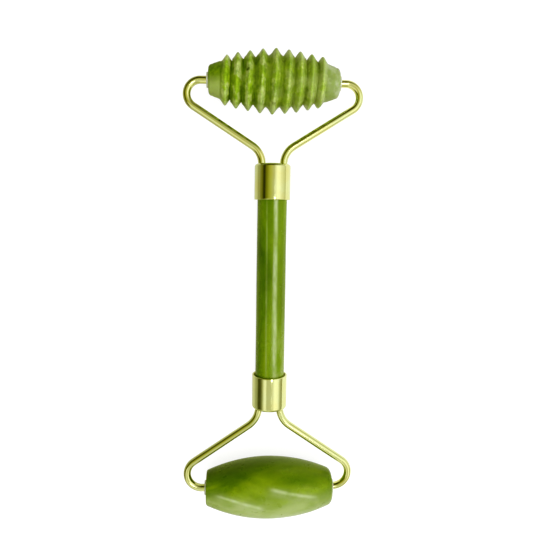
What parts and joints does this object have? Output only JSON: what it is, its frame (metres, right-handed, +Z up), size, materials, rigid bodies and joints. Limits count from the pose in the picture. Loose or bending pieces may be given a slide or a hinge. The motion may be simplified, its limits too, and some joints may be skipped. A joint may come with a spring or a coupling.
{
  "type": "jade face roller",
  "caption": "Hand-held double-ended stone face roller: a ringed and a smooth barrel roller turn freely in bent wire yokes on a round stone handle.",
  "frame": {"origin": "centre of the object's box, on the surface it lies on", "axes": "+Y along the handle towards the ringed roller, +X along the roller axes, +Z up"},
  "size_m": [0.0564, 0.1522, 0.0197],
  "materials": {
    "jade_handle": "polished",
    "jade_ringed": "polished",
    "jade_smooth": "polished",
    "gold_plate": "polished",
    "bush_plastic": "satin",
    "glue": "gloss"
  },
  "bodies": {
    "handle": {"handle_rod": "jade_handle", "ringed_ferrule": "gold_plate", "smooth_ferrule": "gold_plate", "ringed_glue": "glue", "smooth_glue": "glue", "ringed_yoke": "gold_plate", "smooth_yoke": "gold_plate"},
    "ringed_head": {"ringed_roller": "jade_ringed", "ringed_bush_left": "bush_plastic", "ringed_bush_right": "bush_plastic"},
    "smooth_head": {"smooth_roller": "jade_smooth", "smooth_bush_left": "bush_plastic", "smooth_bush_right": "bush_plastic"}
  },
  "joints": [
    {"name": "ringed_roller_spin", "type": "hinge", "parent": "handle", "child": "ringed_head", "pos_m": [0, 0.06625, 0.00985], "axis": [1, 0, 0], "continuous": true},
    {"name": "smooth_roller_spin", "type": "hinge", "parent": "handle", "child": "smooth_head", "pos_m": [0, -0.06625, 0.00985], "axis": [1, 0, 0], "continuous": true}
  ]
}
